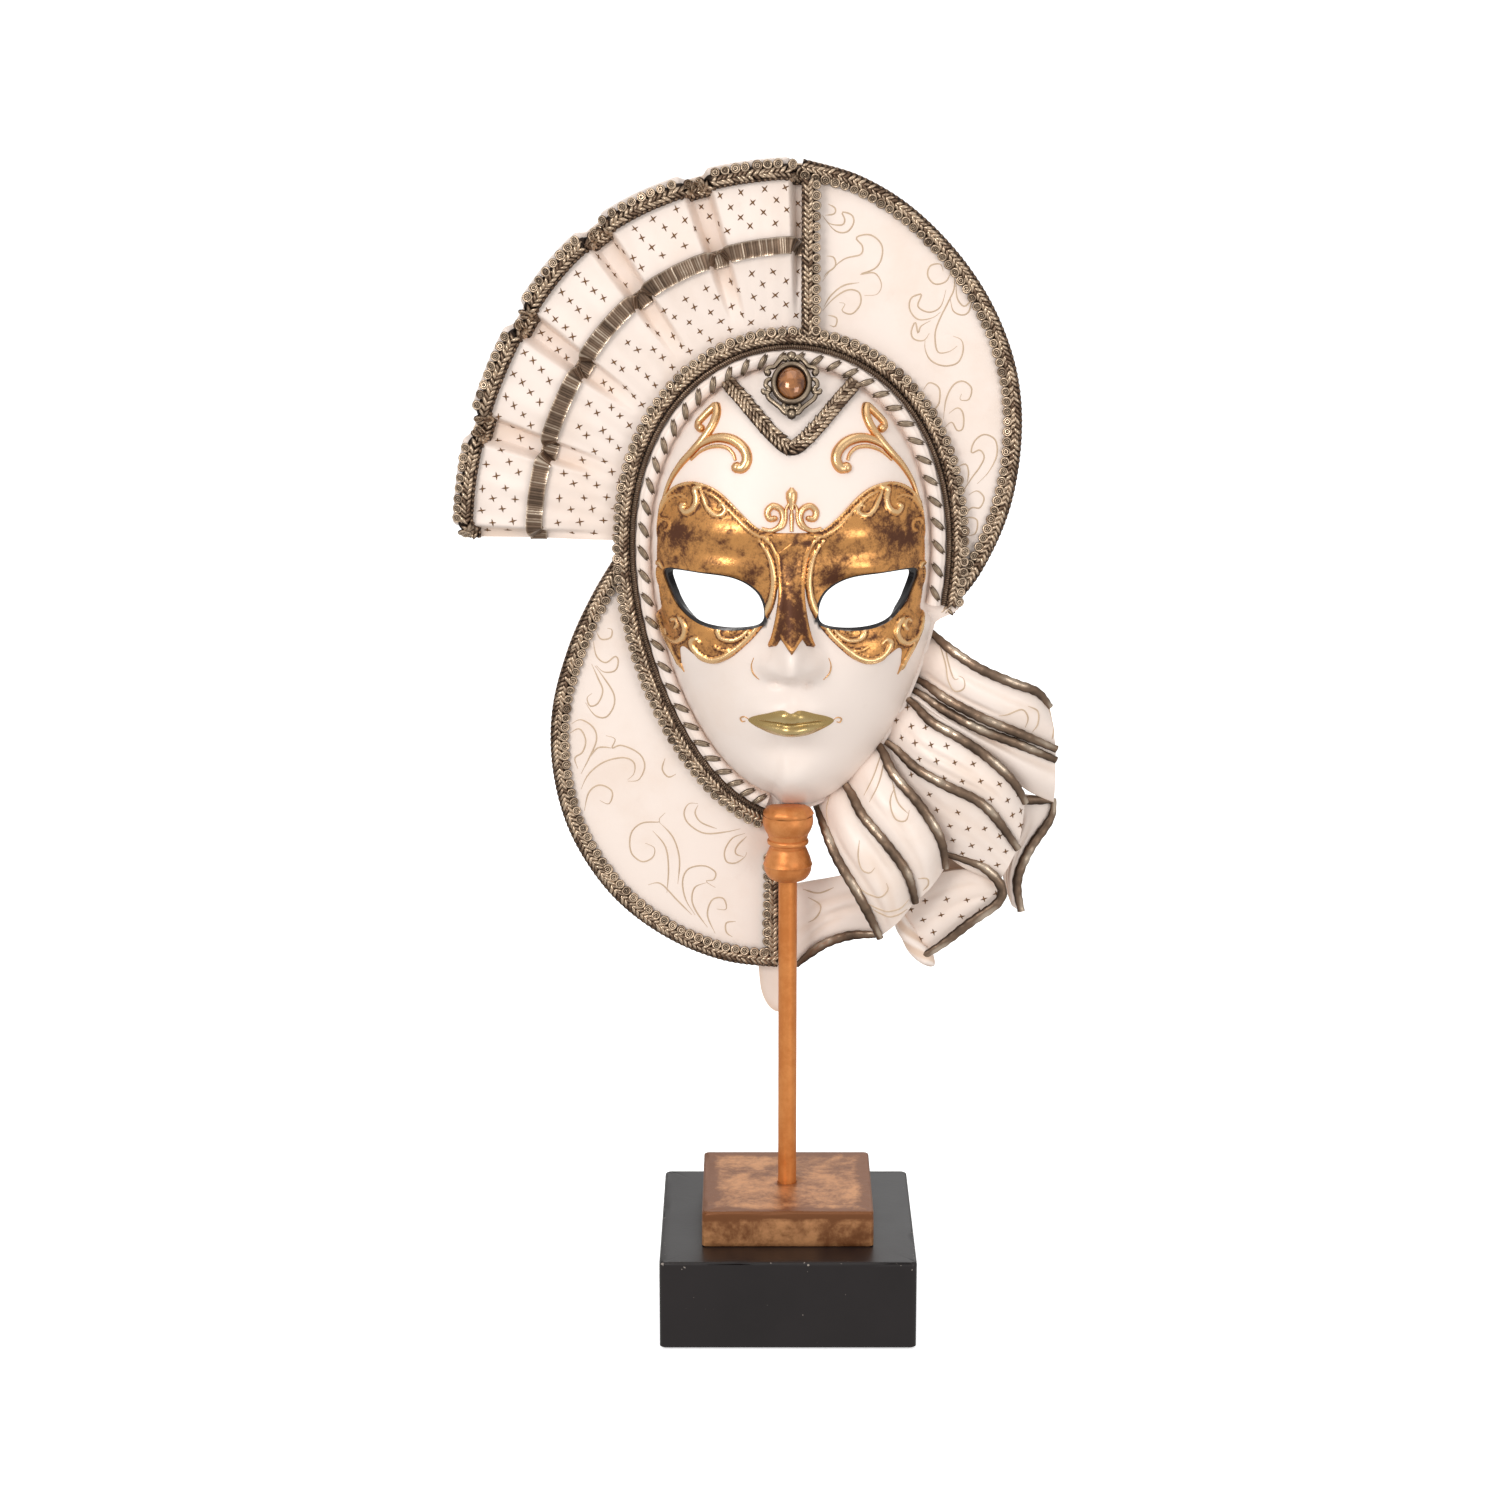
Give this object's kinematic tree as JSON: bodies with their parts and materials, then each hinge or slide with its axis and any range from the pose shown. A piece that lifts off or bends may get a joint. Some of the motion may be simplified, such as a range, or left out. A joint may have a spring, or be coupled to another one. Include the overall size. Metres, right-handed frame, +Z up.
{
  "type": "masquerade mask on stand",
  "caption": "Full-face masquerade mask with pleated fan, crescent panels, braid, jewel and ribbon swag on a rod that turns and lifts out of a square plinth.",
  "frame": {"origin": "centre of the plinth's underside, on the surface it stands on", "axes": "+Z up along the rod, the face looks along -Y, +X to the viewer's right"},
  "size_m": [0.2581, 0.11, 0.4998],
  "materials": {
    "black_lacquer": "satin black lacquer with small chips",
    "felt": "dark felt",
    "worn_gilding": "rubbed copper-gold paint with dark edges",
    "steel": "zinc-plated",
    "nylon": "plain",
    "rod_gilding": "satin copper-gold paint",
    "cup_gilding": "copper-gold paint",
    "ivory_face": "painted cast resin, soft sheen",
    "gold_leaf": "aged gold leaf over dark brown",
    "lip_gilding": "greenish gold paint",
    "ivory_resin": "painted cast resin",
    "pewter_trim": "dark bronze-silver paint rubbed bright",
    "silvered_metal": "dark silver paint",
    "amber_stone": "glossy amber"
  },
  "bodies": {
    "stand": {"plinth": "black_lacquer", "plinth_felt": "felt", "gold_block": "worn_gilding", "block_screws": "steel"},
    "pad": {"rod_pad": "nylon"},
    "mask": {"stem_rod": "rod_gilding", "stem_cup": "cup_gilding", "chin_collar": "cup_gilding", "backing_ring": "black_lacquer", "face_shell": "ivory_face", "half_mask": "gold_leaf", "nose_crest": "gold_leaf", "nose_strip": "gold_leaf", "brow_scroll_left": "gold_leaf", "brow_scroll_right": "gold_leaf", "cheek_scroll_left": "gold_leaf", "cheek_scroll_right": "gold_leaf", "lips": "lip_gilding", "rim_band": "ivory_resin", "rim_lacing": "pewter_trim", "rim_cord": "pewter_trim", "rim_braid": "pewter_trim", "chevron_braid": "pewter_trim", "jewel_setting": "silvered_metal", "jewel_stone": "amber_stone", "upper_panel": "ivory_resin", "upper_panel_braid": "pewter_trim", "divider_braid": "pewter_trim", "lower_panel": "ivory_resin", "lower_panel_braid": "pewter_trim", "lower_end_braid": "pewter_trim", "fan": "ivory_resin", "fan_edge_braid": "pewter_trim", "fan_ribbon": "pewter_trim", "ribbon_1": "ivory_resin", "ribbon_2": "ivory_resin", "ribbon_3": "ivory_resin", "ribbon_4": "ivory_resin", "ribbon_5": "ivory_resin", "ribbon_6": "ivory_resin", "tail_left": "ivory_resin", "tail_cross": "ivory_resin", "tail_right": "ivory_resin", "tail_twist": "ivory_resin", "tail_small": "ivory_resin", "ribbon_backing": "ivory_resin", "piping_1": "pewter_trim", "piping_2": "pewter_trim", "piping_3": "pewter_trim", "piping_4": "pewter_trim", "piping_5": "pewter_trim", "piping_6": "pewter_trim", "piping_7": "pewter_trim", "piping_left": "pewter_trim", "piping_cross": "pewter_trim", "piping_right": "pewter_trim"}
  },
  "joints": [
    {"name": "mask_turn", "type": "hinge", "parent": "stand", "child": "pad", "pos_m": [0, 0, 0.01], "axis": [0, 0, 1], "continuous": true},
    {"name": "mask_lift", "type": "slide", "parent": "pad", "child": "mask", "axis": [0, 0, 1], "range_m": [0, 0.06]}
  ]
}
